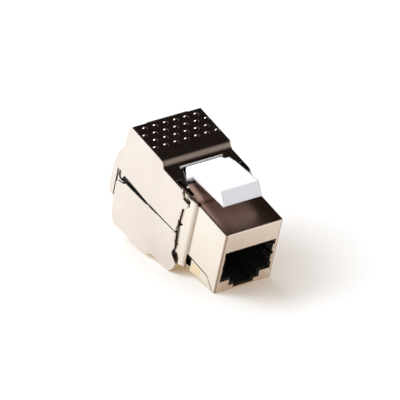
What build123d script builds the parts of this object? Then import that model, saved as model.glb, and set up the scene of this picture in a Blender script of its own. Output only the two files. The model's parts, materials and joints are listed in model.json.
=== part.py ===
"""Shielded tool-less keystone jack for a data cable, closed and unwired.

Working axes: X to the right, Y from the front face towards the cable, Z up from
the front face's lower edge. The finished pieces are then moved so that the origin
is the middle of the underside of the whole jack. Millimetres.
"""
import os

from build123d import *

# Sheet metal
sheet = 0.35
finger_sheet = 0.25
fold_radius = 0.5
frame_fold_radius = 0.8
bend_radius = 0.8
wall_gap = 0.3

# Front box, the part that passes through the panel
face_width = 14.5
face_height = 16.1
box_depth = 10.4
panel_lower_edge = 2.4
panel_slant_start = 0.6
panel_slant_depth = 3.4
panel_slit = 0.2
tray_end = 9.2
tray_bend = 3.6
relief_radius = 0.45

# Plug port, stepped towards the bottom for the plug's own clip
port_half_width = 6.39
port_floor = 2.84
port_head = 5.23
clip_half_width = 3.85
clip_floor = 1.25
nose_half_width = 2.55
nose_floor = 0.4
port_depth = 12.6
finger_reach = 4.6
finger_bow = 0.5
finger_height = 2.0
finger_levels = (4.6, 7.4)

# Frame behind the shoulder
side_jog = 0.95
jog_length = 1.9
roof_jog = 0.65
floor_jog = 1.3
frame_end = 20.5
frame_floor_end = 15.4
flange_end = 16.5
frame_wall_drop = 0.75
corner_hole = ((14.9, 8.75), (13.1, 8.85), (14.2, 7.7))
lance_slit = ((14.25, 8.0), (14.0, 8.0), (13.6, 3.3), (13.8, 3.3))
lance_end = (13.65, 3.2)
lance_end_radius = 0.3
frame_wall_front = 10.8
frame_floor_half_width = 6.6
arm_slot_start = 12.95
arm_slot_gap = 0.1

# Covers
cover_front = 15.4
cover_lift = 0.65
upper_rise = 1.45
upper_step = (22.3, 23.4)
lower_front_drop = 4.85
lower_step = (20.9, 22.6)
lower_rise = 1.4
lower_slope = 0.1
step_radius = 0.7
cover_rear = 36.05
rear_corner = 34.0
seam_level = 5.8
seam_gap = 0.35
seam_kink = 25.3
seam_open = 33.3
corner_notch = (17.8, 7.45)
tongue_half_width = 5.25
tongue_slant = 4.0
cable_radius = 3.7
tab_end = -1.5
tab_bulge = (38.65, 4.2)
tab_root = (36.95, 11.5)
tab_foot = (38.2, 37.0)
tab_hem = 1.7
dimple_sphere = 1.0
dimple_height = 0.18
dimple_row_count = 7
dimple_pitch = 2.62
dimple_row_pitch = 2.08
dimple_first_row = 27.2
dimple_rows = 4

# Cover pivots
pivot_radius = 0.6
pivot_clearance = 0.06
upper_pivot_depth = 13.6
upper_pivot_drop = 1.5
lower_pivot = (13.4, 0.4)
arm_thickness = 0.6
arm_height = 1.4

# Latch
latch_half_width = 4.87
latch_ear = 1.53
latch_foot_front = 17.0
latch_foot_length = 3.35
latch_foot_taper = 0.75
latch_foot_thickness = 0.9
latch_front = 5.72
latch_front_height = 2.25
latch_front_lift = 2.1
latch_front_lean = 1.9
latch_chin = 0.45
latch_rear_lift = 3.0
latch_slot_clearance = 0.35
latch_slot_rear_gap = 0.65
latch_lip = 0.32
latch_leg = 1.2
latch_leg_inner = 3.8
latch_leg_outer = 5.2
latch_leg_depth = 1.6
latch_leg_setback = 0.5
latch_leg_swing = 0.65

# Inner mouldings, board and contacts
moulding_gap = 0.05
jack_body_end = 13.6
body_roof_drop = 0.4
body_shelf = 1.0
carrier_seat = 1.5
finger_pocket = (1.0, 0.12, 0.6)
board_start = 14.1
board_thickness = 1.0
board_floor = 0.6
board_head = 0.9
board_side_gap = 0.25
tail_bite = 0.9
contact_bite = 0.1
housing_start = 15.6
housing_bottom = -4.0
block_end = 29.5
block_half_height = 4.5
block_chamfer = 1.5
comb_start = 24.3
comb_end = 32.5
comb_mouth_gap = 0.5
comb_channel_front = 1.7
comb_channel_rear = 1.5
comb_channel_gap = 0.35
comb_wall = 1.2
comb_pocket_width = 6.0
comb_pocket_pitch = 8.0
cheek_end = 35.2
cheek_split = 0.15
seam_fall = 1.45
way_pitch = 3.2
ways = 4
wire_groove = 1.3
groove_depth = 1.2
groove_lead = 2.5
blade_row = 26.0
blade_width = 2.2
blade_thickness = 0.4
blade_reach = 3.0
blade_slit = 0.14
blade_slit_depth = 2.6
blade_lead = 0.9
blade_tooth = 0.35
blade_mouth = 0.55
tail_offset = 0.85
tail_size = 0.4
contact_pitch = 1.02
contact_count = 8
contact_width = 0.4
contact_thickness = 0.28
contact_drop = 3.5
contact_tail_rise = 1.0
contact_jog = (11.6, 12.9)
contact_front = 5.2
contact_tip = (10.6, 3.7)
carrier_half_width = 4.7
carrier_front = 4.3
carrier_drop = 4.9
carrier_head = 1.2
carrier_lip = 0.4
carrier_step = 11.0
carrier_shelf = 0.5

# Worked-out values
face_half = face_width / 2
box_inner = face_half - sheet
frame_half = face_half + side_jog
frame_inner = frame_half - sheet
cover_inner = frame_half + wall_gap
cover_half_width = cover_inner + sheet
arm_outer = frame_inner - wall_gap
arm_inner = arm_outer - arm_thickness
core_half_width = arm_inner - wall_gap
comb_half_width = cover_inner - wall_gap
flange_level = face_height + roof_jog
latch_foot_rear = latch_foot_front + latch_foot_length
latch_slot_rear = latch_foot_rear + latch_slot_rear_gap
frame_floor = -floor_jog
frame_start = box_depth + jog_length
frame_wall_top = flange_level - frame_wall_drop
port_roof = face_height - port_head
upper_front_level = flange_level + cover_lift
upper_rear_level = upper_front_level + upper_rise
upper_pivot = (upper_pivot_depth, face_height - upper_pivot_drop)
board_end = board_start + board_thickness
housing_end = frame_end - moulding_gap
housing_top = flange_level - sheet
block_top = seam_level + block_half_height
block_bottom = seam_level - block_half_height
contact_level = face_height - contact_drop
carrier_floor = face_height - carrier_drop
carrier_roof = face_height - carrier_head
FAR = 60.0


def block(x0, x1, y0, y1, z0, z1):
    """A plain block between two corners."""
    centre = ((x0 + x1) / 2, (y0 + y1) / 2, (z0 + z1) / 2)
    return Pos(*centre) * Box(x1 - x0, y1 - y0, z1 - z0)


def both_sides(shape):
    """The shape and its mirror image across the middle plane."""
    return [shape, mirror(shape, about=Plane.YZ)]


def side_face(points, radius=0):
    """A closed outline of (y, z) points, its corners rounded by one radius or a list."""
    line = FilletPolyline(*points, radius=radius, close=True) if radius else Polyline(*points, close=True)
    return make_face(line)


def across(face, x0, x1):
    """A side outline made solid between two places across the jack."""
    return extrude(Plane.YZ.offset(x0) * face, amount=x1 - x0)


def sheet_strip(points, radius):
    """The section of a folded sheet that runs through the points, one sheet thick."""
    line = FilletPolyline(*points, radius=radius)
    return make_face(line.wire().offset_2d(sheet, kind=Kind.ARC, side=Side.LEFT, closed=True))


def rod(centre, radius, x0, x1):
    """A round pin or hole along X at a (y, z) centre."""
    return extrude(Plane.YZ.offset(x0) * Pos(*centre) * Circle(radius), amount=x1 - x0)


def spread(count, pitch):
    """Evenly spaced places about the middle."""
    return [(index - (count - 1) / 2) * pitch for index in range(count)]


def port_outline(grow=0.0):
    """The stepped port as a face in X and Z."""
    steps = [
        (port_half_width, port_floor, port_roof),
        (clip_half_width, clip_floor, port_roof),
        (nose_half_width, nose_floor, port_roof),
    ]
    face = Sketch()
    for half, low, high in steps:
        face += Pos(0, (low + high) / 2) * Rectangle(2 * (half + grow), high - low + 2 * grow)
    return face


def port_cut(y0, y1, grow=0.0):
    """The port made solid between two depths."""
    return extrude(Plane.XZ.offset(-y0) * port_outline(grow), amount=-(y1 - y0))


def arch_face(y, half, top, radius):
    """A tall section across the jack at one depth, with its two top corners rounded."""
    low = frame_floor - 2
    corners = [(half, low), (half, top), (-half, top), (-half, low)]
    line = FilletPolyline(*corners, radius=[0.01, radius, radius, 0.01], close=True)
    return Plane.XZ.offset(-y) * make_face(line)


def shoulder(start_half, start_top, start_radius, end_half, end_top, end_radius):
    """Flared stretch between the box and the wider frame behind it."""
    start = arch_face(box_depth, start_half, start_top, start_radius)
    end = arch_face(frame_start, end_half, end_top, end_radius)
    return loft([start, end], ruled=True)


def make_front_shield():
    """Face, roof and side panels of the box, flared into the wider frame behind them."""
    outer = block(-face_half, face_half, 0, box_depth, -FAR, face_height)
    folds = outer.edges().filter_by(Axis.Y).group_by(Axis.Z)[-1]
    folds += outer.edges().filter_by(Axis.X).group_by(Axis.Z)[-1].group_by(Axis.Y)[0]
    folds += outer.edges().filter_by(Axis.Z).group_by(Axis.Y)[0]
    outer = fillet(folds, fold_radius)
    outer -= block(-box_inner, box_inner, sheet, FAR, -2 * FAR, face_height - sheet)
    outer &= block(-FAR, FAR, -1, FAR, 0, FAR)

    flare = shoulder(face_half, face_height, fold_radius, frame_half, flange_level, frame_fold_radius)
    flare -= shoulder(box_inner, face_height - sheet, fold_radius - sheet,
                      frame_inner, flange_level - sheet, frame_fold_radius - sheet)
    rear = extrude(arch_face(frame_start, frame_half, flange_level, frame_fold_radius),
                   amount=-(frame_end - frame_start))
    rear -= extrude(arch_face(frame_start, frame_inner, flange_level - sheet, frame_fold_radius - sheet),
                    amount=-(frame_end - frame_start))
    rear = cut_frame_details(flare + rear)

    below_panel = side_face([
        (panel_slant_start, 0), (panel_slant_depth, panel_lower_edge), (frame_wall_front, panel_lower_edge),
        (frame_wall_front, -FAR), (panel_slant_start, -FAR)])
    shield = outer + rear - across(below_panel, -FAR, FAR)
    shield -= port_cut(-1, sheet + 0.01)
    for finger in both_sides(make_ground_fingers()):
        shield += finger
    for corner in both_sides(rod((box_depth + 0.2, face_height), relief_radius, face_half - 0.5, face_half + 0.6)):
        shield -= corner
    return shield


def cut_frame_details(frame):
    """Pivot holes, slots for the swinging arms, the corner hole and the lanced tab."""
    frame &= block(-FAR, FAR, 0, FAR, frame_floor, FAR)
    frame -= block(-FAR, FAR, flange_end, FAR, frame_wall_top, FAR)
    hole = pivot_radius + pivot_clearance
    inner, outer = frame_inner - 1, frame_half + 1
    cuts = [
        rod(upper_pivot, hole, inner, outer),
        rod(lower_pivot, hole, inner, outer),
        across(side_face(corner_hole), inner, outer),
        across(side_face(lance_slit), inner, outer),
        rod(lance_end, lance_end_radius, inner, outer),
        block(arm_inner - arm_slot_gap, arm_outer + arm_slot_gap, arm_slot_start, flange_end,
              flange_level - 1, FAR),
    ]
    for cut in cuts:
        for side in both_sides(cut):
            frame -= side
    return frame


def make_ground_fingers():
    """Two spring fingers folded back into the port from its right edge."""
    edge = port_half_width
    middle = (sheet - finger_sheet) / 2
    line = FilletPolyline(
        (edge + 0.6, middle), (edge - finger_sheet, middle), (edge - finger_bow, finger_reach * 0.6),
        (edge - finger_sheet, finger_reach), radius=[0.2, 3.0])
    section = make_face(line.wire().offset_2d(finger_sheet, side=Side.RIGHT, closed=True))
    fingers = Part()
    for low in finger_levels:
        fingers += extrude(Plane.XY.offset(low) * section, amount=finger_height)
    return fingers


def make_bottom_shield():
    """Tray that closes the box from below and ends in the fixed panel catch."""
    front = sheet + moulding_gap
    slant = panel_slant_start + panel_slit + 0.1
    top = panel_lower_edge - panel_slit
    fall = (tray_end - tray_bend) * floor_jog / (frame_wall_front - tray_bend)
    side = side_face([(slant, 0), (panel_slant_depth, top), (tray_end, top), (tray_end, -fall), (tray_bend, 0)])
    tray = across(side, -face_half, face_half)
    tray -= Pos(0, 0, sheet) * across(side_face([
        (front, 0), (tray_bend, 0), (FAR, -(FAR - tray_bend) * floor_jog / (frame_wall_front - tray_bend)),
        (FAR, FAR), (front, FAR)]), -box_inner, box_inner)
    floor = sheet_strip([
        (front, 0), (tray_bend, 0), (frame_wall_front, frame_floor), (frame_floor_end, frame_floor)], bend_radius)
    return tray + across(floor, -frame_floor_half_width, frame_floor_half_width)


def cover_level(y, front_level, rise, step, slope, up):
    """Height of a cover's plate at a depth: a front part, a step and a rear part."""
    fall = slope * (y - cover_front)
    share = min(max((y - step[0]) / (step[1] - step[0]), 0), 1)
    return front_level + up * (fall + rise * share)


def upper_level(y):
    """Top of the upper cover at a depth."""
    return cover_level(y, upper_front_level, upper_rise, upper_step, 0, 1)


def lower_level(y):
    """Underside of the lower cover at a depth."""
    return cover_level(y, -lower_front_drop, lower_rise, lower_step, lower_slope, -1)


def cover_shell(level, step, up):
    """Plate with its step and both side plates, longer than needed at each open end."""
    bottom = seam_level - up * FAR / 2
    outline = [(2, bottom), (2, level(2)), (step[0], level(step[0])), (step[1], level(step[1])),
               (FAR, level(FAR)), (FAR, bottom)]
    radii = [0.01, step_radius, step_radius, step_radius, step_radius, 0.01]
    outer = across(side_face(outline, radii), -cover_half_width, cover_half_width)
    fold = []
    for edge in outer.edges():
        centre = edge.center()
        on_side = abs(abs(centre.X) - cover_half_width) < 0.01
        if on_side and 2 + step_radius < centre.Y < FAR - step_radius and abs(centre.Z - seam_level) < FAR / 3:
            fold.append(edge)
    outer = fillet(fold, fold_radius)
    inside = offset(side_face(outline, radii), amount=-sheet)
    return outer - across(inside, -cover_inner, cover_inner)


def make_upper_cover():
    """Upper half of the shell: plate, step, side plates, dimples, tongue and tabs."""
    y, z = upper_pivot
    top = upper_front_level
    high = upper_rear_level + 2
    panel = side_face([
        (cover_front, high), (cover_front, top), (y + 0.55, z + 0.8), (y - 1.3, z + 0.7), (y - 1.05, z - 0.7),
        (y + 0.45, z - 1.8), (y + 0.9, seam_level + 0.4), (seam_kink, seam_level - 0.15), (seam_open, seam_level + 0.15),
        (cover_rear - 1.75, seam_level + 0.1), (cover_rear - 0.85, seam_level - 1.7),
        (cover_rear - 0.35, seam_level + 0.4), (tab_foot[1], seam_level + 0.3), (cover_rear, tab_root[1] + 2.9),
        (cover_rear - 0.15, top), (rear_corner + 0.9, upper_rear_level), (rear_corner, high)],
        [0.01, 0.2, 0.3, 0.45, 0.3, 0.6, 0.1, 0.1, 0.3, 0.2, 0.35, 0.2, 0.01, 0.3, 0.6, 0.3, 0.01])
    bulge = ThreePointArc(tab_root, tab_bulge, (tab_foot[0], tab_end))
    tab = make_face(bulge + Polyline(
        (tab_foot[0], tab_end), (tab_foot[1], tab_end), (tab_foot[1], seam_level + 0.6), (cover_rear, tab_root[1] + 0.9), tab_root))
    sides = across(panel, -FAR, FAR) + across(tab, -FAR, FAR)
    cover = cover_shell(upper_level, upper_step, 1) & sides
    hem = make_face(Wire(bulge.edges()).offset_2d(sheet, side=Side.RIGHT, closed=True))
    for side in both_sides(across(hem, cover_half_width - tab_hem, cover_half_width)):
        cover += side
    cover -= latch_slot()
    notch_end, notch_side = corner_notch
    for side in both_sides(block(notch_side, cover_inner, 0, notch_end, top - 2 * sheet, FAR)):
        cover -= side
    cover += make_tongue(upper_level, 1)
    for place in dimple_places():
        cover += make_dimple(place)
    return cover


def latch_slot():
    """Opening in the cover's plate around the latch's foot, open to the front."""
    gap = latch_slot_clearance
    rear = latch_half_width - latch_foot_taper / 2 + gap
    front = latch_half_width + latch_ear + gap
    plan = Polyline((-rear, latch_slot_rear), (rear, latch_slot_rear), (front, latch_foot_front - gap),
                    (front, 0), (-front, 0), (-front, latch_foot_front - gap), close=True)
    return extrude(Plane.XY.offset(seam_level) * make_face(plan), amount=FAR)


def dimple_places():
    """Staggered rows of seven and six dimples on the rear plate."""
    places = []
    for row in range(dimple_rows):
        number = dimple_row_count - row % 2
        for x in spread(number, dimple_pitch):
            places.append((x, dimple_first_row + row * dimple_row_pitch, upper_rear_level))
    return places


def make_dimple(place):
    """A round bump, the cap of a sphere rooted in the sheet."""
    x, y, z = place
    ball = Pos(x, y, z + dimple_height - dimple_sphere) * Rot(90, 0, 0) * Sphere(dimple_sphere)
    return ball & block(-FAR, FAR, 0, FAR, z - sheet / 2, FAR)


def make_lower_cover():
    """Lower half of the shell, the upper one's partner."""
    y, z = lower_pivot
    low = lower_level(FAR)
    seam_end = seam_level - seam_fall
    panel = side_face([
        (cover_front, low), (cover_front, lower_level(cover_front)), (y + 0.8, lower_level(y)),
        (y - 0.5, z - 3.5), (y - 1.25, z - 1.5), (y + 0.9, z), (y + 0.5, z + 1.4), (y + 1.0, seam_level + 0.15),
        (seam_kink - 0.1, seam_level - 0.6), (seam_kink + 0.05, seam_level - 0.85), (seam_open, seam_end),
        (cover_rear - 1.65, seam_end - 0.75), (cover_rear + 0.25, seam_end - 1.15),
        (tab_foot[1] - 0.35, seam_end - 1.95), (tab_foot[1] - 0.4, tab_end),
        (cover_rear - 0.1, lower_level(cover_rear) + 2.2), (rear_corner + 0.7, lower_level(rear_corner)),
        (rear_corner, low)],
        [0.01, 0.2, 0.6, 0.6, 0.5, 0.5, 0.3, 0.3, 0.05, 0.05, 0.4, 0.3, 0.3, 0.3, 0.8, 1.2, 0.6, 0.01])
    cover = cover_shell(lower_level, lower_step, -1) & across(panel, -FAR, FAR)
    cover -= block(-cover_inner, cover_inner, 0, cover_front, -FAR, seam_level)
    return cover + make_tongue(lower_level, -1)


def make_tongue(level, up):
    """Middle flap bent over the rear end, with half of the cable's round hole."""
    end = seam_level + up * seam_gap / 2
    start = rear_corner - 1.0
    bend = cover_rear - 0.55
    path = [(start, level(start)), (bend, level(bend)), (cover_rear, level(bend) - up * tongue_slant),
            (cover_rear, end)]
    if up > 0:
        path.reverse()
    tongue = across(sheet_strip(path, bend_radius), -tongue_half_width, tongue_half_width)
    hole = extrude(Plane.XZ.offset(-start) * Pos(0, seam_level) * Circle(cable_radius), amount=-FAR)
    return tongue - hole


def make_jack_body():
    """Black moulding that holds the port."""
    inner_half = box_inner - moulding_gap
    front = sheet + moulding_gap
    shelf = panel_lower_edge + body_shelf
    body = block(-inner_half, inner_half, front, jack_body_end, shelf, face_height - body_roof_drop)
    cheek_half = inner_half - sheet - moulding_gap
    body += block(-cheek_half, cheek_half, front, jack_body_end, sheet + moulding_gap, shelf)
    body -= port_cut(0, sheet + port_depth, -0.3)
    body -= block(-carrier_half_width - moulding_gap, carrier_half_width + moulding_gap,
                  carrier_front - moulding_gap, FAR, port_roof - carrier_seat, carrier_roof + moulding_gap)
    low, high = finger_levels[0] - wall_gap, finger_levels[-1] + finger_height + wall_gap
    inward, outward, behind = finger_pocket
    pocket = block(port_half_width - inward, port_half_width + outward, 0, finger_reach + behind, low, high)
    for side in both_sides(pocket):
        body -= side
    return body


def contact_line(index):
    """Section of one spring contact, from the board, round the front and back down."""
    rise = contact_tail_rise if index % 2 else 0.0
    tail = contact_level + rise
    points = [
        (board_end - contact_bite, tail), (contact_jog[1], tail), (contact_jog[0], contact_level),
        (contact_front, contact_level),
        (contact_tip[0], contact_level - contact_tip[1])]
    if not rise:
        points = [points[0], points[3], points[4]]
    line = FilletPolyline(*points, radius=0.5)
    return make_face(line.wire().offset_2d(contact_thickness, side=Side.LEFT, closed=True))


def make_contact(index):
    """One gold spring contact."""
    x = spread(contact_count, contact_pitch)[index]
    return across(contact_line(index), x - contact_width / 2, x + contact_width / 2)


def make_contact_carrier():
    """Black insert with a slot for each contact."""
    carrier = block(-carrier_half_width, carrier_half_width, carrier_front, jack_body_end,
                    carrier_floor, carrier_roof)
    half = contact_width / 2 + moulding_gap
    for index, x in enumerate(spread(contact_count, contact_pitch)):
        rise = contact_tail_rise if index % 2 else 0.0
        top = contact_level + moulding_gap
        carrier -= block(x - half, x + half, carrier_front + carrier_lip, carrier_step, 0, top)
        carrier -= block(x - half, x + half, carrier_step, FAR, contact_level - carrier_shelf, top + rise)
    return carrier


def make_circuit_board():
    """Upright board between the port and the wiring block."""
    half = core_half_width - board_side_gap
    board = block(-half, half, board_start, board_end, board_floor, face_height - board_head)
    hole = contact_width / 2 + moulding_gap
    for index, x in enumerate(spread(contact_count, contact_pitch)):
        level = contact_level + (contact_tail_rise if index % 2 else 0.0)
        middle = level - contact_thickness / 2
        board -= block(x - hole, x + hole, 0, FAR, middle - hole, middle + hole)
    return board - tail_holes(0, FAR)


def tail_holes(y0, y1):
    """Square holes for the tails of the wiring blades."""
    half = tail_size / 2 + moulding_gap
    holes = Part()
    for x in spread(ways, way_pitch):
        for up in (1, -1):
            z = seam_level + up * tail_offset
            holes += block(x - half, x + half, y0, y1, z - half, z + half)
    return holes


def make_rear_housing():
    """Moulding behind the board that carries the latch and the wiring block."""
    housing = block(-core_half_width, core_half_width, housing_start, housing_end,
                    housing_bottom, housing_top)
    housing -= tail_holes(0, FAR)
    for leg in latch_legs(wall_gap, latch_leg_swing):
        housing -= leg
    return housing


def latch_legs(grow=0.0, swing=0.0):
    """Two legs under the latch's foot, or with room to grow and swing their sockets."""
    front = latch_foot_front + latch_leg_setback
    leg = block(latch_leg_inner - grow, latch_leg_outer + grow, front - grow,
                front + latch_leg + max(grow, swing), housing_top - latch_leg_depth - grow,
                flange_level + latch_foot_thickness / 2)
    return both_sides(leg)


def make_idc_block():
    """Wiring block with four ways on top and four below."""
    body = block(-core_half_width, core_half_width, housing_end, block_end, block_bottom, block_top)
    rear = body.edges().filter_by(Axis.X).group_by(Axis.Y)[-1]
    body = chamfer(rear, block_chamfer)
    body -= tail_holes(0, blade_row)
    half = blade_width / 2 + moulding_gap
    thick = blade_thickness / 2 + moulding_gap
    for x in spread(ways, way_pitch):
        for up in (1, -1):
            inner = seam_level + up * (tail_offset - tail_size / 2 - moulding_gap)
            low, high = sorted((inner, inner + up * FAR))
            body -= block(x - half, x + half, blade_row - thick, blade_row + thick, low, high)
            low, high = sorted((seam_level + up * block_half_height,
                                seam_level + up * (block_half_height - groove_depth)))
            body -= block(x - wire_groove / 2, x + wire_groove / 2, blade_row - groove_lead, FAR, low, high)
    return body


def make_idc_blade(index):
    """Forked blade that cuts into one wire, with its tail to the board."""
    x = spread(ways, way_pitch)[index % ways]
    up = 1 if index < ways else -1
    root = tail_offset - tail_size / 2
    tip = block_half_height + blade_reach
    half = blade_width / 2
    shoulder_top = tip - blade_lead
    floor = tip - blade_slit_depth
    prong = [(blade_slit, floor), (blade_slit, shoulder_top + 0.2), (blade_mouth, tip),
             (half - blade_tooth, tip), (half, shoulder_top), (half, root)]
    fork = Polyline(*[(-x, z) for x, z in reversed(prong)], *prong, close=True)
    front = blade_row - blade_thickness / 2
    blade = extrude(Plane.XZ.offset(-front) * make_face(fork), amount=-blade_thickness)
    blade += block(-tail_size / 2, tail_size / 2, board_end - tail_bite, front, root, root + tail_size)
    if up < 0:
        blade = mirror(blade, about=Plane.XY)
    return Pos(x, 0, seam_level) * blade


def make_comb(pivot, level, up):
    """Pressing comb inside a cover, with the arms and stubs that it turns on."""
    mouth = seam_level + up * (block_half_height + comb_mouth_gap)
    start, end = (level(y) - up * (sheet + moulding_gap) for y in (comb_start, comb_end))
    shape = side_face([(comb_start, mouth), (comb_start, start), (comb_end, end), (comb_end, mouth)])
    comb = across(shape, -comb_half_width, comb_half_width)
    comb += comb_cheeks(mouth, up)
    groove_low, groove_high = sorted((mouth, mouth + up * (blade_reach + 0.2)))
    for x in spread(ways, way_pitch):
        channel = blade_width / 2 + comb_channel_gap
        comb -= block(x - channel, x + channel, blade_row - comb_channel_front,
                      blade_row + comb_channel_rear, groove_low, groove_high)
        comb -= block(x - wire_groove / 2, x + wire_groove / 2, comb_start - 1, FAR, groove_low, groove_high)
    pocket_low, pocket_high = sorted((mouth + up * (blade_reach + comb_wall), seam_level + up * FAR))
    for x in spread(2, comb_pocket_pitch):
        comb -= block(x - comb_pocket_width / 2, x + comb_pocket_width / 2, comb_start + comb_wall,
                      comb_end - comb_wall, pocket_low, pocket_high)
    y, z = pivot
    arm = block(arm_inner, arm_outer, y, comb_start + 0.5, z - arm_height / 2, z + arm_height / 2)
    arm += rod(pivot, arm_height / 2, arm_inner, arm_outer)
    arm += rod(pivot, pivot_radius, arm_inner, frame_half)
    for side in both_sides(arm):
        comb += side
    return comb


def comb_cheeks(mouth, up):
    """Thin side walls that close the seam from inside, down to the lower cover's edge."""
    split = seam_level - seam_fall + up * cheek_split
    cheek = side_face([
        (comb_start, mouth + up), (comb_start, split), (cheek_end, split), (cheek_end, mouth),
        (comb_end, mouth + 2 * up), (comb_end - 1, mouth + 2 * up)])
    wall = across(cheek, core_half_width + wall_gap, comb_half_width)
    left, right = both_sides(wall)
    return left + right


def make_latch():
    """White spring latch: foot in the cover's slot, arm rising to its blunt front."""
    root = flange_level + wall_gap
    core = root + latch_foot_thickness / 2
    front = root + latch_front_lift - latch_front_height / 4
    chin = front + latch_chin
    arm = side_face([
        (latch_foot_front + 0.4, core), (latch_front, front), (latch_front, chin),
        (latch_front + latch_front_lean, chin + latch_front_height),
        (latch_foot_front - 1.0, root + latch_rear_lift - 0.1), (latch_foot_front + 1.4, root + latch_rear_lift - 0.75),
        (latch_foot_rear - 0.65, core)],
        [0.01, 0.25, 0.3, 0.35, 1.5, 0.9, 0.01])
    rear = latch_half_width - latch_foot_taper / 2
    wide = latch_half_width + latch_ear
    plan = FilletPolyline(
        (-rear, latch_foot_rear), (rear, latch_foot_rear), (wide, latch_foot_front),
        (-wide, latch_foot_front), radius=0.3, close=True)
    latch = extrude(Plane.XY.offset(root) * make_face(plan), amount=latch_foot_thickness)
    for leg in latch_legs():
        latch += leg
    latch += across(arm, -latch_half_width, latch_half_width)
    lip = Plane.YZ.offset(-latch_half_width) * Pos(latch_front + 0.2, front + 0.2) * Circle(latch_lip)
    return latch + extrude(lip, amount=2 * latch_half_width)


def make_all():
    """Every piece by its node name, in working axes."""
    pieces = {
        "front_shield": make_front_shield(),
        "bottom_shield": make_bottom_shield(),
        "upper_cover": make_upper_cover(),
        "lower_cover": make_lower_cover(),
        "upper_wire_comb": make_comb(upper_pivot, upper_level, 1),
        "lower_wire_comb": make_comb(lower_pivot, lower_level, -1),
        "keystone_latch": make_latch(),
        "jack_body": make_jack_body(),
        "contact_carrier": make_contact_carrier(),
        "circuit_board": make_circuit_board(),
        "rear_housing": make_rear_housing(),
        "idc_block": make_idc_block(),
    }
    for index in range(contact_count):
        pieces[f"contact_{index + 1}"] = make_contact(index)
    for index in range(2 * ways):
        pieces[f"idc_blade_{index + 1}"] = make_idc_blade(index)
    return pieces


pieces = make_all()
whole = Compound(children=[Compound(piece.wrapped) for piece in pieces.values()]).bounding_box()
shift = (0, -round((whole.min.Y + whole.max.Y) / 2, 3), -round(whole.min.Z, 3))
print("shift", shift, "size", whole.size)

os.makedirs("parts", exist_ok=True)
for name, piece in pieces.items():
    export_step(Pos(*shift) * piece, f"parts/{name}.step")
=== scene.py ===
# %% [markdown]
# A shielded keystone jack lies nose down on a white table: a bent box of bright nickel-plated
# sheet round a black plug port, a white spring latch on its roof, and two hinged covers behind.
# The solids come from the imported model, so this script first loads them as a fixed frame. Nothing
# is moved: every later piece, lamp and material is placed from the frame's own measurements.

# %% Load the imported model
import json
import math

import bmesh
import bpy
from mathutils import Matrix, Vector


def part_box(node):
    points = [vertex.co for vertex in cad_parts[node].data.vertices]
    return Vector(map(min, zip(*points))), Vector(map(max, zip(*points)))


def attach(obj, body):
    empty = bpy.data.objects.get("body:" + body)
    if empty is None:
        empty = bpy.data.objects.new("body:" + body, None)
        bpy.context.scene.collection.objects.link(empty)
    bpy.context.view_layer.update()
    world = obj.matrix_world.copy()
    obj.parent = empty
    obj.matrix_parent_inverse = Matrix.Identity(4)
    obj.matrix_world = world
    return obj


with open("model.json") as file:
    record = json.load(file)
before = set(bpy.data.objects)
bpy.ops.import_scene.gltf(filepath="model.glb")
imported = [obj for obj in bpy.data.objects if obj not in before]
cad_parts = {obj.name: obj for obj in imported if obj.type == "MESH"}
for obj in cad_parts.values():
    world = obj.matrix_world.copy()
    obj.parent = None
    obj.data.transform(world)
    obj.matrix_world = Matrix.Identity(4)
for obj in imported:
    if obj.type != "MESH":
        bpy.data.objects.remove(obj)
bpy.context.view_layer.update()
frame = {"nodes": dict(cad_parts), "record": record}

nodes = frame["nodes"]

# %% [markdown]
# Blender counts in metres and a jack is thought of in millimetres, so one small factor keeps the
# numbers readable. One place on the jack matters for everything around it: the lower edge of its
# face. The real jack lies nose down, on that edge and on the underside of its lower cover. A small
# helper turns distances from the middle of that edge, in millimetres, into a place in the scene.

# %% Units and the front resting edge
MM = 0.001
frame_below_face = 1.3 * MM
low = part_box("front_shield")[0]
face_edge = Vector((0.0, low[1], low[2] + frame_below_face))


def from_face(x, along, height):
    """A place in mm from the middle of the face's lower edge, as a vector in metres."""
    return face_edge + Vector((x, along, height)) * MM


middle = (Vector(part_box("upper_cover")[1]) + Vector(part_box("lower_cover")[0])) / 2
middle.x = 0.0
print("face edge in mm", [round(value / MM, 2) for value in face_edge])

# %% [markdown]
# The table is a plain pale sheet. A flat plane under the origin would leave the face hanging in
# the air, so the table is tilted until it touches the cover too. The steepest line from the face's
# lower edge to any corner point of the jack gives that tilt, measured on the meshes themselves.

# %% The table's own directions
def steepest_fall(start, reach):
    """The largest angle by which a point beyond reach lies below the start."""
    tilt = 0.0
    for node in nodes.values():
        for vertex in node.data.vertices:
            ahead = vertex.co.y - start.y
            if ahead > reach:
                tilt = max(tilt, math.atan2(start.z - vertex.co.z, ahead))
    return tilt


table_tilt = steepest_fall(face_edge, reach=5.0 * MM)
table_up = Vector((0.0, math.sin(table_tilt), math.cos(table_tilt)))
print("table tilt", round(math.degrees(table_tilt), 2), "degrees")

# %% [markdown]
# A product photograph like this one is taken from far away with a long lens, which keeps the
# edges of the box nearly parallel. The camera stands about a metre off, to the front left, and
# looks down on the table. Its place is given from the face's lower edge, with one aim and one lens.

# %% The camera
def put_in_scene(name, data):
    """A new object that holds this data, linked into the scene."""
    item = bpy.data.objects.new(name, data)
    bpy.context.scene.collection.objects.link(item)
    return item


camera_place = from_face(-539.61, -597.68, 673.86)
camera_forward = Vector((0.51122, 0.58418, -0.63039)).normalized()
camera_right = Vector((0.82399, -0.54166, 0.16627)).normalized()
camera_up = camera_right.cross(camera_forward)
camera = put_in_scene("camera", bpy.data.cameras.new("camera"))
long_lens = 450.0
camera.data.lens = long_lens
camera.data.sensor_width = 36.0
camera.data.clip_end = 20.0
turn = Matrix((camera_right, camera_up, -camera_forward)).transposed()
camera.matrix_world = Matrix.Translation(camera_place) @ turn.to_4x4()
bpy.context.scene.camera = camera
print("camera stands", round((camera_place - middle).length, 3), "m away")

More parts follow.
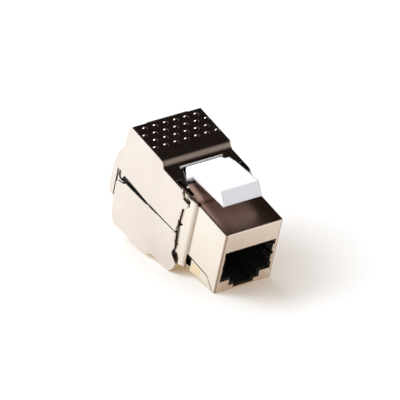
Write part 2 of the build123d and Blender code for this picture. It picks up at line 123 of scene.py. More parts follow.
# %% [markdown]
# Shader nodes are easier to read as a recipe than as a drawing, so a few helpers build them.
# One makes a material and hands over its shader, one adds a node and sets its plain values, one
# writes a grey, and one makes a colour ramp. Each material below then reads as a list of steps.

# %% Helpers for materials
def new_material(name):
    """A new node material, its nodes and its Principled shader."""
    material = bpy.data.materials.new(name)
    material.use_nodes = True
    tree = material.node_tree
    return material, tree, tree.nodes["Principled BSDF"]


def add(tree, kind, settings=None, **inputs):
    """One node of a kind, with its settings and its unlinked inputs filled in."""
    node = tree.nodes.new(kind)
    for key, value in (settings or {}).items():
        setattr(node, key, value)
    for key, value in inputs.items():
        node.inputs[key.replace("_", " ")].default_value = value
    return node


def grey(value):
    """A grey as a colour with full alpha."""
    return (value, value, value, 1.0)


def ramp(tree, source, stops):
    """A colour ramp driven by a socket, with (place, colour) stops."""
    node = tree.nodes.new("ShaderNodeValToRGB")
    elements = node.color_ramp.elements
    while len(elements) < len(stops):
        elements.new(0.5)
    for element, (place, colour) in zip(elements, stops):
        element.position = place
        element.color = colour
    tree.links.new(source, node.inputs["Fac"])
    return node


print("helpers for materials are ready")

# %% [markdown]
# An effect that several materials share is best kept as a node group: it is built once, and each
# material then sets its own values on the group's inputs. Its sockets are made on its interface.

# %% Maker of node groups
def make_group(name, inputs, outputs):
    """An empty node group with float inputs and typed outputs."""
    group = bpy.data.node_groups.new(name, "ShaderNodeTree")
    for label, default in inputs.items():
        socket = group.interface.new_socket(label, in_out="INPUT", socket_type="NodeSocketFloat")
        socket.default_value = default
    for label, kind in outputs.items():
        group.interface.new_socket(label, in_out="OUTPUT", socket_type=kind)
    start = group.nodes.new("NodeGroupInput")
    end = group.nodes.new("NodeGroupOutput")
    return group, start, end


print("group maker is ready")

# %% [markdown]
# Rolled and plated sheet is never quite flat or clean. It has a very fine grain along the
# rolling direction, slow waves that bend its reflections, and cloudy patches where the plating
# is duller. All sheet parts share that, so it is one node group with a value for each effect. Where
# its bend mask is 1, a wide bevel rounds the shading in place of the tight one.

# %% Group for the life of a plated sheet
def make_sheet_group():
    """Cloudy tone, grain and slow waves from Object coordinates."""
    group, start, end = make_group(
        "plated_sheet",
        {"Cloud Scale": 90.0, "Wave Height": 0.05, "Grain Height": 0.002, "Bend Mask": 0.0},
        {"Tone": "NodeSocketFloat", "Dullness": "NodeSocketFloat", "Normal": "NodeSocketVector"})
    link = group.links.new
    place = group.nodes.new("ShaderNodeTexCoord")
    cloud = add(group, "ShaderNodeTexNoise", Detail=3.0, Roughness=0.5)
    link(place.outputs["Object"], cloud.inputs["Vector"])
    link(start.outputs["Cloud Scale"], cloud.inputs["Scale"])
    link(cloud.outputs["Fac"], end.inputs["Tone"])
    smear = add(group, "ShaderNodeTexNoise", Scale=420.0, Detail=4.0, Roughness=0.62)
    link(place.outputs["Object"], smear.inputs["Vector"])
    link(smear.outputs["Fac"], end.inputs["Dullness"])
    stretch = add(group, "ShaderNodeMapping", Scale=(1.0, 0.06, 1.0))
    link(place.outputs["Object"], stretch.inputs["Vector"])
    grain = add(group, "ShaderNodeTexNoise", Scale=9000.0, Detail=2.0)
    link(stretch.outputs["Vector"], grain.inputs["Vector"])
    wave = add(group, "ShaderNodeTexNoise", Scale=60.0, Detail=0.0)
    link(place.outputs["Object"], wave.inputs["Vector"])
    slow = add(group, "ShaderNodeBump", Distance=MM)
    link(start.outputs["Wave Height"], slow.inputs["Strength"])
    link(wave.outputs["Fac"], slow.inputs["Height"])
    tight = add(group, "ShaderNodeBevel", {"samples": 4}, Radius=0.12 * MM)
    wide = add(group, "ShaderNodeBevel", {"samples": 16}, Radius=0.7 * MM)
    rounded = add(group, "ShaderNodeMix", {"data_type": "VECTOR"})
    link(start.outputs["Bend Mask"], rounded.inputs["Factor"])
    link(tight.outputs["Normal"], rounded.inputs["A"])
    link(wide.outputs["Normal"], rounded.inputs["B"])
    link(rounded.outputs["Result"], slow.inputs["Normal"])
    fine = add(group, "ShaderNodeBump", Distance=MM)
    link(start.outputs["Grain Height"], fine.inputs["Strength"])
    link(grain.outputs["Fac"], fine.inputs["Height"])
    link(slow.outputs["Normal"], fine.inputs["Normal"])
    link(fine.outputs["Normal"], end.inputs["Normal"])
    return group


sheet_group = make_sheet_group()
outputs = [item.name for item in sheet_group.interface.items_tree if item.in_out == "OUTPUT"]
print("group", sheet_group.name, "puts out", outputs)

# %% [markdown]
# Edges get a tint of their own. On the plated sheet that tint is painted light: a painted highlight
# on the covers' edges and painted shade on the edges of the box and the tray. Mouldings go pale
# where they rub. Comparing the true normal with one rounded over a small radius finds every edge,
# which works on any mesh because it asks the surface and not the corner points.

# %% Group for edges
def make_edge_group():
    """A mask that is 1 on sharp edges and 0 on flat places."""
    group, start, end = make_group("edge_wear_and_painted_light", {"Radius": 0.1 * MM}, {"Mask": "NodeSocketFloat"})
    link = group.links.new
    true = group.nodes.new("ShaderNodeNewGeometry")
    rounded = add(group, "ShaderNodeBevel", {"samples": 4})
    link(start.outputs["Radius"], rounded.inputs["Radius"])
    match = add(group, "ShaderNodeVectorMath", {"operation": "DOT_PRODUCT"})
    link(true.outputs["Normal"], match.inputs[0])
    link(rounded.outputs["Normal"], match.inputs[1])
    spread = add(group, "ShaderNodeMapRange", {"interpolation_type": "SMOOTHSTEP"},
                 From_Min=1.0, From_Max=0.85, To_Min=0.0, To_Max=1.0)
    link(match.outputs["Value"], spread.inputs["Value"])
    link(spread.outputs["Result"], end.inputs["Mask"])
    return group


edge_group = make_edge_group()
print("group", edge_group.name)

# %% [markdown]
# The shield is steel with a bright nickel plating, warmer than chrome. As a metal it has almost
# no brightness of its own: what it shows is the white table or the dark studio. The material only
# sets two warm tints, a low roughness with duller patches, and edges of a painted tint and width of
# their own: a painted highlight on the covers' edges, painted shade on those of the box and the
# tray.
# The covers are the brightest, the box is more matt, and the tray is the warmest.

# %% Nickel plating
def place_group(tree, group):
    """The group as a node in a material."""
    return add(tree, "ShaderNodeGroup", {"node_tree": group})


def make_nickel(name, warm, pale, painted_edge_tint, smooth, rough, edge_width=0.1):
    """Bright plated sheet between two tints and two roughnesses, with a painted edge tint set by
    the caller.
    """
    material, tree, shader = new_material(name)
    link = tree.links.new
    life = place_group(tree, sheet_group)
    edge = place_group(tree, edge_group)
    edge.inputs["Radius"].default_value = edge_width * MM
    tone = ramp(tree, life.outputs["Tone"], [(0.35, warm), (0.65, pale)])
    # Painted light on the edges: the edge mask mixes in the painted edge tint.
    edge_paint = add(tree, "ShaderNodeMix", {"data_type": "RGBA"})
    link(edge.outputs["Mask"], edge_paint.inputs["Factor"])
    link(tone.outputs["Color"], edge_paint.inputs["A"])
    edge_paint.inputs["B"].default_value = painted_edge_tint
    link(edge_paint.outputs["Result"], shader.inputs["Base Color"])
    gloss = add(tree, "ShaderNodeMapRange",
                From_Min=0.3, From_Max=0.75, To_Min=smooth, To_Max=rough)
    link(life.outputs["Dullness"], gloss.inputs["Value"])
    link(gloss.outputs["Result"], shader.inputs["Roughness"])
    link(life.outputs["Normal"], shader.inputs["Normal"])
    shader.inputs["Metallic"].default_value = 1.0
    return material


# Painted highlight: the covers' edges are nearly white.
nickel = make_nickel(
    "nickel_covers", warm=(0.775, 0.695, 0.625, 1.0), pale=(0.83, 0.75, 0.685, 1.0),
    painted_edge_tint=(0.95, 0.92, 0.88, 1.0), smooth=0.07, rough=0.15)
# Painted shade: the box's edges are dark brown.
box_nickel = make_nickel(
    "nickel_box", warm=(0.86, 0.785, 0.69, 1.0), pale=(0.9, 0.83, 0.735, 1.0),
    painted_edge_tint=(0.42, 0.33, 0.27, 1.0), smooth=0.23, rough=0.3, edge_width=0.2)
# Painted shade: the tray's edges are almost black.
tray_nickel = make_nickel(
    "nickel_tray", warm=(0.87, 0.8, 0.68, 1.0), pale=(0.91, 0.85, 0.75, 1.0),
    painted_edge_tint=(0.22, 0.16, 0.1, 1.0), smooth=0.14, rough=0.26, edge_width=0.25)
print("made", nickel.name, box_nickel.name, tray_nickel.name)

# %% [markdown]
# Some places on the plating are painted darker or browner, as painted shade and painted reflection,
# and some dull where the press stretched the sheet. Each such place is found by a mask, which is 1
# on it and 0 elsewhere. A band makes a mask from one axis of the place or the normal, with a soft
# rise and a soft fall, and two masks are multiplied where a place is bounded in two directions. A
# band that needs no start or no end has it far outside the jack, or past 1 or -1, which no part of
# a normal reaches.

# %% Masks by place
def band(tree, source, edges):
    """A mask along a socket: it rises between the first two values and falls between the others."""
    rise = add(tree, "ShaderNodeMapRange", {"interpolation_type": "SMOOTHSTEP"},
               From_Min=edges[0], From_Max=edges[1])
    fall = add(tree, "ShaderNodeMapRange", {"interpolation_type": "SMOOTHSTEP"},
               From_Min=edges[3], From_Max=edges[2])
    both = add(tree, "ShaderNodeMath", {"operation": "MULTIPLY"})
    for number, side in enumerate((rise, fall)):
        tree.links.new(source, side.inputs["Value"])
        tree.links.new(side.outputs["Result"], both.inputs[number])
    return both.outputs["Value"]


def overlap(tree, first, second):
    """A mask that is 1 only where two masks both are."""
    both = add(tree, "ShaderNodeMath", {"operation": "MULTIPLY"})
    tree.links.new(first, both.inputs[0])
    tree.links.new(second, both.inputs[1])
    return both.outputs["Value"]


def axis_of(tree, output, axis):
    """One axis of the object's own place or normal."""
    place = tree.nodes.new("ShaderNodeTexCoord")
    split = tree.nodes.new("ShaderNodeSeparateXYZ")
    tree.links.new(place.outputs[output], split.inputs["Vector"])
    return split.outputs[axis]


facing_up = (0.6, 0.95, 2.0, 3.0)
facing_front = (-3.0, -2.0, -0.9, -0.6)
facing_sideways = (-0.5, -0.2, 0.2, 0.5)
print("a surface counts as a roof where its normal's Z is over", facing_up[1])

# %% [markdown]
# A mask can then change the finish under it. A stain multiplies the colour that the shader had
# before: here that is mostly painted shade and painted reflection, and on the board's edge a real
# stain.
# A dull place adds to its roughness, so several of them can be laid on one material.

# %% Stains, painted light and dull places
def stain_and_painted_light(material, mask, colour):
    """Multiply a material's colour by another one where a mask is 1."""
    tree = material.node_tree
    shader = tree.nodes["Principled BSDF"]
    before = shader.inputs["Base Color"].links[0].from_socket
    layer = add(tree, "ShaderNodeMix", {"data_type": "RGBA", "blend_type": "MULTIPLY"})
    layer.inputs["B"].default_value = colour
    tree.links.new(mask, layer.inputs["Factor"])
    tree.links.new(before, layer.inputs["A"])
    tree.links.new(layer.outputs["Result"], shader.inputs["Base Color"])


def dull(material, mask, amount):
    """Add to a material's roughness where a mask is 1."""
    tree = material.node_tree
    shader = tree.nodes["Principled BSDF"]
    before = shader.inputs["Roughness"].links[0].from_socket
    more = add(tree, "ShaderNodeMath", {"operation": "MULTIPLY_ADD"})
    more.inputs[1].default_value = amount
    tree.links.new(mask, more.inputs[0])
    tree.links.new(before, more.inputs[2])
    tree.links.new(more.outputs["Value"], shader.inputs["Roughness"])


print("stains and dull places are ready")

# %% [markdown]
# The roof of the box is painted brown under the latch as a painted reflection of the latch in
# shade, and painted darker towards its left edge and much darker towards its right one, as a
# painted reflection of the dark studio. It is also a little blurred. All of it is masks on the
# object's own place and normal, so the painted reflection stays on the sheet when the camera moves.

# %% Painted reflection on the roof
def paint_roof_reflection(material):
    """Paint a brown reflection on the surfaces that face up, darker towards the two sides, and blur
    them.
    """
    tree = material.node_tree
    up = band(tree, axis_of(tree, "Normal", "Z"), facing_up)
    # Painted reflection: surfaces that face up are tinted brown, as if they mirror the latch in
    # shade.
    stain_and_painted_light(material, up, (0.8, 0.61, 0.56, 1.0))
    dull(material, up, 0.1)
    across = axis_of(tree, "Object", "X")
    left = band(tree, across, (-2.0, -1.0, -6.5 * MM, -3.0 * MM))
    # Painted reflection: darker towards the roof's left edge.
    stain_and_painted_light(material, overlap(tree, up, left), (0.66, 0.6, 0.6, 1.0))
    right = band(tree, across, (0.5 * MM, 5.5 * MM, 1.0, 2.0))
    # Painted reflection: much darker towards the right edge, where the roof mirrors the dark
    # studio.
    stain_and_painted_light(material, overlap(tree, up, right), (0.22, 0.19, 0.17, 1.0))


paint_roof_reflection(box_nickel)
print("browned the roof of", box_nickel.name)

# %% [markdown]
# The face is painted a little browner than the sides, as painted shade for the shadowed table that
# it mirrors, and the two upright folds beside it get a thin dark line of painted shade. The
# shoulder, where the press rolled the box out into the wider frame, is painted dark at its foot as
# shade in the corner and fades along the bend. Each line is set by the box's own sizes, so it
# follows the sheet.

# %% Painted shade on the face, the folds and the shoulder
face_half_width = 7.25 * MM
box_depth = 10.4 * MM
shoulder_length = 1.4 * MM


def paint_fold_shade(material):
    """Paint shade on the face, its two upright folds and the shoulder behind the box."""
    tree = material.node_tree
    front = band(tree, axis_of(tree, "Normal", "Y"), facing_front)
    # Painted shade: the face is tinted browner, as if it mirrors the shadowed table.
    stain_and_painted_light(material, front, (0.9, 0.84, 0.82, 1.0))
    across = axis_of(tree, "Object", "X")
    along = axis_of(tree, "Object", "Y")
    corner = band(tree, along, (-1.0, -0.9, face_edge.y + 0.22 * MM, face_edge.y + 0.4 * MM))
    inner, outer = face_half_width - 0.5 * MM, face_half_width - 0.4 * MM
    for edges in ((-1.0, -0.9, -outer, -inner), (inner, outer, 0.9, 1.0)):
        # Painted shade: a thin dark line along each upright fold.
        stain_and_painted_light(material, overlap(tree, corner, band(tree, across, edges)), (0.45, 0.36, 0.3, 1.0))
    foot = face_edge.y + box_depth
    fade = (foot - 0.1 * MM, foot + 0.05 * MM, foot + 0.15 * MM, foot + shoulder_length)
    # Painted shade: dark at the foot of the shoulder, fading along the bend.
    stain_and_painted_light(material, band(tree, along, fade), (0.52, 0.45, 0.39, 1.0))


paint_fold_shade(box_nickel)
print("box", round(box_depth / MM, 2), "mm deep, shoulder", round(shoulder_length / MM, 2), "mm")

# %% [markdown]
# Each cheek of the tray under the box gets a painted golden reflection in one patch beside the
# catch.
# The patch is small and its edge is soft, so a band along the cheek and a band over its height are
# multiplied.

# %% Painted golden reflection on the tray
patch_along = [face_edge.y + distance * MM for distance in (4.8, 6.4, 8.6, 9.6)]
patch_over = [face_edge.z + distance * MM for distance in (-1.2, -0.4, 1.4, 2.4)]


def paint_cheek_reflection(material):
    """Paint a golden reflection on a small place of the tray's cheeks."""
    tree = material.node_tree
    along = band(tree, axis_of(tree, "Object", "Y"), patch_along)
    over = band(tree, axis_of(tree, "Object", "Z"), patch_over)
    side = band(tree, axis_of(tree, "Normal", "Z"), facing_sideways)
    # Painted reflection: a soft golden patch on each cheek.
    stain_and_painted_light(material, overlap(tree, overlap(tree, along, over), side), (1.0, 0.91, 0.71, 1.0))


paint_cheek_reflection(tray_nickel)
print("gilded", tray_nickel.name)

# %% [markdown]
# The covers step down from the cable end to the latch in one rolled bend. Between the two flats of
# the step the group's wide bevel takes over from its tight one, so the bend catches light softly.
# The covers' edges are rubbed as well, so the edge mask makes them duller.

# %% Soft bend at the cover's step
step_along = [face_edge.y + distance * MM for distance in (20.9, 21.9, 23.9, 24.9)]
rubbed_roughness = 0.3


def group_in(material, group):
    """The node by which a material holds a group."""
    held = [node for node in material.node_tree.nodes if node.type == "GROUP"]
    return next(node for node in held if node.node_tree == group)


def soften_step(material):
    """Read the step of the covers as one rolled bend."""
    tree = material.node_tree
    step = band(tree, axis_of(tree, "Object", "Y"), step_along)
    tree.links.new(step, group_in(material, sheet_group).inputs["Bend Mask"])


soften_step(nickel)
dull(nickel, group_in(nickel, edge_group).outputs["Mask"], rubbed_roughness)
print("softened the step of", nickel.name)

# %% [markdown]
# Two plastics differ only in colour, gloss, grain and the softness of their edges: black for the
# port and the wiring parts, and white for the latch. A moulding is matt where the tool was spark
# eroded, so a fine noise bump is enough, and its edges are a little paler where they rub.

# %% Moulded plastics
def make_moulding(name, colour, edge_colour, roughness, grain, softness):
    """Moulded plastic with a fine grain and rubbed edges."""
    material, tree, shader = new_material(name)
    link = tree.links.new
    place = tree.nodes.new("ShaderNodeTexCoord")
    noise = add(tree, "ShaderNodeTexNoise", Scale=5200.0, Detail=3.0, Roughness=0.6)
    link(place.outputs["Object"], noise.inputs["Vector"])
    rounded = add(tree, "ShaderNodeBevel", {"samples": 8}, Radius=softness)
    bump = add(tree, "ShaderNodeBump", Strength=grain, Distance=0.03 * MM)
    link(noise.outputs["Fac"], bump.inputs["Height"])
    link(rounded.outputs["Normal"], bump.inputs["Normal"])
    link(bump.outputs["Normal"], shader.inputs["Normal"])
    edge = place_group(tree, edge_group)
    rub = add(tree, "ShaderNodeMix", {"data_type": "RGBA"})
    link(edge.outputs["Mask"], rub.inputs["Factor"])
    rub.inputs["A"].default_value = colour
    rub.inputs["B"].default_value = edge_colour
    link(rub.outputs["Result"], shader.inputs["Base Color"])
    patch = add(tree, "ShaderNodeTexNoise", Scale=260.0, Detail=2.0)
    link(place.outputs["Object"], patch.inputs["Vector"])
    gloss = add(tree, "ShaderNodeMapRange", From_Min=0.3, From_Max=0.7,
                To_Min=roughness - 0.05, To_Max=roughness + 0.07)
    link(patch.outputs["Fac"], gloss.inputs["Value"])
    link(gloss.outputs["Result"], shader.inputs["Roughness"])
    return material


black = make_moulding(
    "black_moulding", colour=grey(0.012), edge_colour=grey(0.035),
    roughness=0.42, grain=0.5, softness=0.1 * MM)
white = make_moulding(
    "white_moulding", colour=(0.9, 0.905, 0.96, 1.0), edge_colour=(0.93, 0.935, 0.97, 1.0),
    roughness=0.36, grain=0.15, softness=0.7 * MM)
print("made", black.name, white.name)

# %% [markdown]
# The forked blades for the wires are tin-plated bronze, and the springs that meet the plug are
# gold plated. Both are small bright metals, so one maker serves them: a tint that wanders a
# little, and fine drawing lines along the length of the strip.

# %% Contact metals
def make_contact_metal(name, tint, deep, roughness):
    """Bright strip metal with fine drawing lines."""
    material, tree, shader = new_material(name)
    link = tree.links.new
    place = tree.nodes.new("ShaderNodeTexCoord")
    stretch = add(tree, "ShaderNodeMapping", Scale=(1.0, 0.05, 0.05))
    link(place.outputs["Object"], stretch.inputs["Vector"])
    lines = add(tree, "ShaderNodeTexNoise", Scale=6000.0, Detail=3.0)
    link(stretch.outputs["Vector"], lines.inputs["Vector"])
    cloud = add(tree, "ShaderNodeTexNoise", Scale=500.0, Detail=2.0)
    link(place.outputs["Object"], cloud.inputs["Vector"])
    tone = ramp(tree, cloud.outputs["Fac"], [(0.35, deep), (0.6, tint)])
    link(tone.outputs["Color"], shader.inputs["Base Color"])
    gloss = add(tree, "ShaderNodeMapRange", From_Min=0.3, From_Max=0.7,
                To_Min=roughness - 0.06, To_Max=roughness + 0.1)
    link(lines.outputs["Fac"], gloss.inputs["Value"])
    link(gloss.outputs["Result"], shader.inputs["Roughness"])
    bump = add(tree, "ShaderNodeBump", Strength=0.2, Distance=0.01 * MM)
    link(lines.outputs["Fac"], bump.inputs["Height"])
    link(bump.outputs["Normal"], shader.inputs["Normal"])
    shader.inputs["Metallic"].default_value = 1.0
    return material


gold = make_contact_metal("gold_plating", tint=(0.93, 0.66, 0.27, 1.0),
                          deep=(0.8, 0.52, 0.18, 1.0), roughness=0.2)
tin = make_contact_metal("tin_plating", tint=(0.78, 0.76, 0.72, 1.0),
                         deep=(0.62, 0.6, 0.56, 1.0), roughness=0.3)
print("made", gold.name, tin.name)

# %% [markdown]
# The circuit board is glass laminate under a green solder mask. The mask is a thin clear coat
# over copper, and the woven glass shows through as a faint square pattern, so two crossed wave
# textures shade the green. Its sawn top edge has no mask, so that is stained almost black.

# %% Circuit board
def make_board():
    """Green solder mask over woven laminate."""
    material, tree, shader = new_material("solder_mask")
    link = tree.links.new
    place = tree.nodes.new("ShaderNodeTexCoord")
    warp = add(tree, "ShaderNodeTexWave", {"bands_direction": "X"}, Scale=800.0, Distortion=0.6)
    weft = add(tree, "ShaderNodeTexWave", {"bands_direction": "Z"}, Scale=800.0, Distortion=0.6)
    link(place.outputs["Object"], warp.inputs["Vector"])
    link(place.outputs["Object"], weft.inputs["Vector"])
    weave = add(tree, "ShaderNodeMath", {"operation": "MULTIPLY"})
    link(warp.outputs["Fac"], weave.inputs[0])
    link(weft.outputs["Fac"], weave.inputs[1])
    tone = ramp(tree, weave.outputs["Value"], [
        (0.0, (0.01, 0.1, 0.04, 1.0)), (1.0, (0.02, 0.17, 0.07, 1.0))])
    link(tone.outputs["Color"], shader.inputs["Base Color"])
    shader.inputs["Roughness"].default_value = 0.3
    shader.inputs["Coat Weight"].default_value = 0.5
    return material


board = make_board()
sawn_edge = band(board.node_tree, axis_of(board.node_tree, "Normal", "Z"), facing_up)
stain_and_painted_light(board, sawn_edge, (0.8, 0.1, 0.25, 1.0))
print("made", board.name)

# %% [markdown]
# The record names a material slot for every node, so dressing the frame is one loop over those
# slots. Only the material is replaced: the mesh of a frame node is never touched.

# %% Dress the nodes
finishes = {
    "nickel_sheet": nickel,
    "black_plastic": black,
    "white_plastic": white,
    "gold_contact": gold,
    "tinned_bronze": tin,
    "board_green": board,
}
own_finish = {"front_shield": box_nickel, "bottom_shield": tray_nickel}
for part in frame["record"]["subparts"]:
    finish = own_finish.get(part["node"], finishes[part["material_slot"]])
    for slot in nodes[part["node"]].material_slots:
        slot.material = finish

# %% [markdown]
# Some small trim shows in the photograph and isn't in the solids. Each piece of it starts as one
# flat face, which is pulled out into a solid and then rounded on every edge. The extrude leaves the
# first face looking inwards, so the normals are recalculated before the bevel.

# %% From a flat face to a piece
def pull_and_round(shape, way, radius, segments):
    """Extrude a flat shape into a solid and round all its edges."""
    pulled = bmesh.ops.extrude_face_region(shape, geom=shape.faces[:])
    far = [item for item in pulled["geom"] if isinstance(item, bmesh.types.BMVert)]
    bmesh.ops.translate(shape, vec=way, verts=far)
    bmesh.ops.recalc_face_normals(shape, faces=shape.faces)
    bmesh.ops.bevel(shape, geom=shape.edges[:], offset=radius, affect="EDGES", segments=segments,
                    profile=0.5, material=-1)


def close_shape(shape, name):
    """The shape as a mesh on a new object."""
    mesh = bpy.data.meshes.new(name)
    shape.to_mesh(mesh)
    shape.free()
    return put_in_scene(name, mesh)


print("helpers for shapes are ready")

# %% [markdown]
# The rear edge of the latch's opening is turned up into a low lip, so that a wire or a nail can't
# catch on raw sheet. It is one thin ledge, best made from a flat strip that is pulled up, and it
# rides on the upper cover like the plate that it belongs to. Its finish is only partly metallic,
# so that the narrow edge stays pale whatever it mirrors.

# %% Lip behind the latch
def make_ledge(name, low_corner, high_corner, radius):
    """A thin solid ledge between two corners with its edges rounded."""
    shape = bmesh.new()
    size = high_corner - low_corner
    bmesh.ops.create_grid(shape, x_segments=1, y_segments=1, size=0.5)
    bmesh.ops.scale(shape, vec=(size.x, size.y, 1.0), verts=shape.verts)
    bmesh.ops.translate(shape, vec=(low_corner + high_corner) / 2 - Vector((0, 0, size.z / 2)),
                        verts=shape.verts)
    pull_and_round(shape, (0, 0, size.z), radius, segments=3)
    ledge = close_shape(shape, name)
    ledge.data.shade_smooth()
    return ledge


lip_side = 5.4
lip_front, lip_back = 21.02, 21.3
lip_foot, lip_top = 17.4, 17.68
slot_lip = make_ledge("slot_lip", from_face(-lip_side, lip_front, lip_foot),
                      from_face(lip_side, lip_back, lip_top), radius=0.08 * MM)
lip_nickel = make_nickel(
    "nickel_lip", warm=(0.9, 0.87, 0.83, 1.0), pale=(0.94, 0.92, 0.9, 1.0),
    painted_edge_tint=(0.95, 0.93, 0.9, 1.0), smooth=0.3, rough=0.45)
lip_nickel.node_tree.nodes["Principled BSDF"].inputs["Metallic"].default_value = 0.35
slot_lip.data.materials.append(lip_nickel)
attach(slot_lip, "upper_wing")
print("lip", slot_lip.name, len(slot_lip.data.polygons), "faces")

# %% [markdown]
# In the gap in front of each corner of the upper cover, the photograph shows a narrow bright ear of
# the frame's sheet. It is a small upright ledge on each side, laid against the frame and clear of
# the cover. It is made like the lip, in the tray's warmer plating with its edges painted dark as
# shade.

# %% Ears on the frame
ear_sides = (8.2, 8.4)
ear_front, ear_back = 13.6, 14.7
ear_foot, ear_top = 14.0, 16.8
for name, side in (("frame_ear_left", -1), ("frame_ear_right", 1)):
    low_x, high_x = sorted(side * distance for distance in ear_sides)
    ear = make_ledge(name, from_face(low_x, ear_front, ear_foot),
                     from_face(high_x, ear_back, ear_top), radius=0.06 * MM)
    ear.data.materials.append(tray_nickel)
    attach(ear, "jack")
    print("ear", ear.name, len(ear.data.polygons), "faces")

# %% [markdown]
# Behind each side of the upper cover, between the sheet and the closing tab, the photograph shows a
# dark gap where shade falls. A black ear on the comb's end is put there as painted shade: a
# five-sided outline in the side view, pulled out to its thickness and rounded. One outline is made
# for both sides, mirrored by a sign.

# %% Black ears on the comb as painted shade
shade_ear_inner, shade_ear_outer = 7.0, 8.42
shade_ear_outline = ((35.2, 3.4), (36.4, 3.4), (36.88, 4.2), (36.8, 6.4), (35.2, 6.4))


def shade_ear(name, side):
    """A small black ear on the end of the upper comb, on one side, standing in for shade in the
    gap.
    """
    shape = bmesh.new()
    shape.faces.new([shape.verts.new(from_face(side * shade_ear_inner, along, height))
                     for along, height in shade_ear_outline])
    thickness = (shade_ear_outer - shade_ear_inner) * MM
    pull_and_round(shape, (side * thickness, 0, 0), radius=0.12 * MM, segments=2)
    piece = close_shape(shape, name)
    piece.data.materials.append(black)
    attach(piece, "upper_wing")
    return piece


# Painted shade: a black piece fills the dark gap behind each side of the cover.
for name, side in (("shade_ear_left", -1), ("shade_ear_right", 1)):
    print("ear", name, len(shade_ear(name, side).data.polygons), "faces")

# %% [markdown]
# The jack lies on a plain sheet with nothing else on it. The table is a wide disc made with one
# bmesh operator, turned into the plane of the two resting edges. It lies a hair under them, so that
# two surfaces never share one place.

# %% The table
table_radius = 1.6
table_gap = 0.02 * MM


def make_table(radius):
    """A round table top in the plane of the two resting edges."""
    shape = bmesh.new()
    bmesh.ops.create_circle(shape, cap_ends=True, segments=96, radius=radius)
    tilt = Vector((0, 0, 1)).rotation_difference(table_up).to_matrix().to_4x4()
    bmesh.ops.transform(shape, matrix=Matrix.Translation(face_edge - table_up * table_gap) @ tilt,
                        verts=shape.verts)
    return close_shape(shape, "table")


table = make_table(table_radius)
print("table", table.name, round(2 * table_radius, 2), "m across")

# %% [markdown]
# The photograph's background is plain white and the shadow beside the jack is soft and slightly
# warm. The jack is lit by plain paper. The camera and reflections see a cooler paper with a faint
# warm glow added, which comes out white in the light and warm in the shadow. Seen from below the
# paper vanishes, so that no view is blocked.

# %% The table's paper
def make_table_finish():
    """White paper with a warm shadow where the camera or a reflection sees it."""
    material, tree, shader = new_material("table_paper")
    link = tree.links.new
    tree.nodes.remove(shader)
    paper = add(tree, "ShaderNodeBsdfDiffuse", Color=(0.93, 0.92, 0.905, 1.0))
    cool = add(tree, "ShaderNodeBsdfDiffuse", Color=(0.63, 0.725, 0.815, 1.0))
    glow = add(tree, "ShaderNodeEmission", Color=(0.3, 0.19, 0.09, 1.0), Strength=1.0)
    shown = tree.nodes.new("ShaderNodeAddShader")
    link(cool.outputs["BSDF"], shown.inputs[0])
    link(glow.outputs["Emission"], shown.inputs[1])
    rays = tree.nodes.new("ShaderNodeLightPath")
    seen = add(tree, "ShaderNodeMath", {"operation": "MAXIMUM"})
    link(rays.outputs["Is Camera Ray"], seen.inputs[0])
    link(rays.outputs["Is Glossy Ray"], seen.inputs[1])
    both = tree.nodes.new("ShaderNodeMixShader")
    link(seen.outputs["Value"], both.inputs["Fac"])
    link(paper.outputs["BSDF"], both.inputs[1])
    link(shown.outputs["Shader"], both.inputs[2])
    side = tree.nodes.new("ShaderNodeNewGeometry")
    clear = tree.nodes.new("ShaderNodeBsdfTransparent")
    choice = tree.nodes.new("ShaderNodeMixShader")
    link(side.outputs["Backfacing"], choice.inputs["Fac"])
    link(both.outputs["Shader"], choice.inputs[1])
    link(clear.outputs["BSDF"], choice.inputs[2])
    link(choice.outputs["Shader"], tree.nodes["Material Output"].inputs["Surface"])
    return material


table.data.materials.append(make_table_finish())
print("paper", table.data.materials[0].name)

# %% [markdown]
# A wide soft box to the left and a little behind gives the soft shadow on the right. A weaker one,
# low on the left, reaches under the raised front. Both are kept out of reflections, where a square
# lamp would show as a patch. A third, behind, is seen in them: it makes the dots on the dimples.

# %% Soft boxes
table_away = (camera_forward - table_up * camera_forward.dot(table_up)).normalized()
warm_white = (1.0, 0.985, 0.96)


def soft_box(name, right, away, up, size, power, colour):
    """A square area lamp placed along the table's directions, aimed at the jack."""
    lamp = bpy.data.lights.new(name, "AREA")
    lamp.shape = "SQUARE"
    lamp.size = size
    lamp.energy = power
    lamp.color = colour
    box = put_in_scene(name, lamp)
    place = middle + camera_right * right + table_away * away + table_up * up
    aim = (place - middle).to_track_quat("Z", "Y").to_matrix().to_4x4()
    box.matrix_world = Matrix.Translation(place) @ aim
    return box


key_lamp = soft_box("key_box", right=-1.2, away=0.2, up=1.2, size=1.1, power=22.8,
                    colour=warm_white)
fill_lamp = soft_box("fill_box", right=-1.0, away=-0.7, up=0.5, size=0.8, power=3.6,
                     colour=warm_white)
rear_lamp = soft_box("rear_box", right=-0.38, away=0.76, up=0.91, size=0.5, power=3.2,
                     colour=(1.0, 0.99, 0.97))
for lamp in (key_lamp, fill_lamp):
    lamp.visible_glossy = False
for lamp in (key_lamp, fill_lamp, rear_lamp):
    print("lamp", lamp.name, lamp.data.energy, "W")

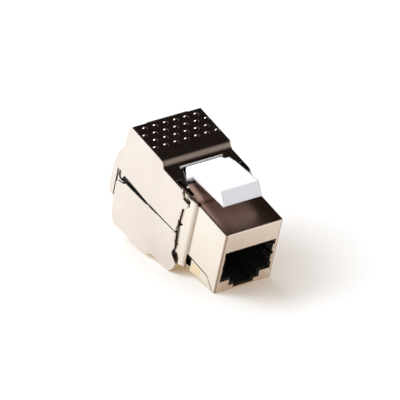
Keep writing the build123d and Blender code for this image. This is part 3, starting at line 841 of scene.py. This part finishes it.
# %% [markdown]
# The world is three rooms in one. The camera sees plain white. Matt surfaces get a soft pale light
# from all round. Bright metal sees a studio that is light at the table's edge and dims upwards,
# which is what gives the roof and the covers their dark tops against the pale sides.

# %% The room
def make_room():
    """A pale world: white for the camera, dimming upwards for reflections."""
    world = bpy.data.worlds.new("room")
    bpy.context.scene.world = world
    world.use_nodes = True
    tree = world.node_tree
    link = tree.links.new
    out = tree.nodes["World Output"]
    pale = tree.nodes["Background"]
    pale.inputs["Color"].default_value = (1.0, 0.99, 0.985, 1.0)
    pale.inputs["Strength"].default_value = 0.62
    place = tree.nodes.new("ShaderNodeTexCoord")
    height = add(tree, "ShaderNodeVectorMath", {"operation": "DOT_PRODUCT"})
    height.inputs[1].default_value = table_up
    link(place.outputs["Generated"], height.inputs[0])
    shades = ramp(tree, height.outputs["Value"], [
        (0.0, (0.8, 0.77, 0.75, 1.0)),
        (0.08, (0.37, 0.33, 0.31, 1.0)),
        (0.2, (0.2, 0.175, 0.16, 1.0)),
        (0.5, (0.055, 0.04, 0.034, 1.0)),
        (0.72, (0.012, 0.008, 0.007, 1.0))])
    mirrored = add(tree, "ShaderNodeBackground", Strength=1.0)
    link(shades.outputs["Color"], mirrored.inputs["Color"])
    white_sky = add(tree, "ShaderNodeBackground", Color=grey(1.0), Strength=1.0)
    rays = tree.nodes.new("ShaderNodeLightPath")
    reflect = tree.nodes.new("ShaderNodeMixShader")
    link(rays.outputs["Is Glossy Ray"], reflect.inputs["Fac"])
    link(pale.outputs["Background"], reflect.inputs[1])
    link(mirrored.outputs["Background"], reflect.inputs[2])
    seen = tree.nodes.new("ShaderNodeMixShader")
    link(rays.outputs["Is Camera Ray"], seen.inputs["Fac"])
    link(reflect.outputs["Shader"], seen.inputs[1])
    link(white_sky.outputs["Background"], seen.inputs[2])
    link(seen.outputs["Shader"], out.inputs["Surface"])
    return world


room = make_room()
print("room", room.name)

# %% [markdown]
# Colours are shown as they are set, with Blender's Standard view.

# %% Finish
bpy.context.scene.view_settings.view_transform = "Standard"
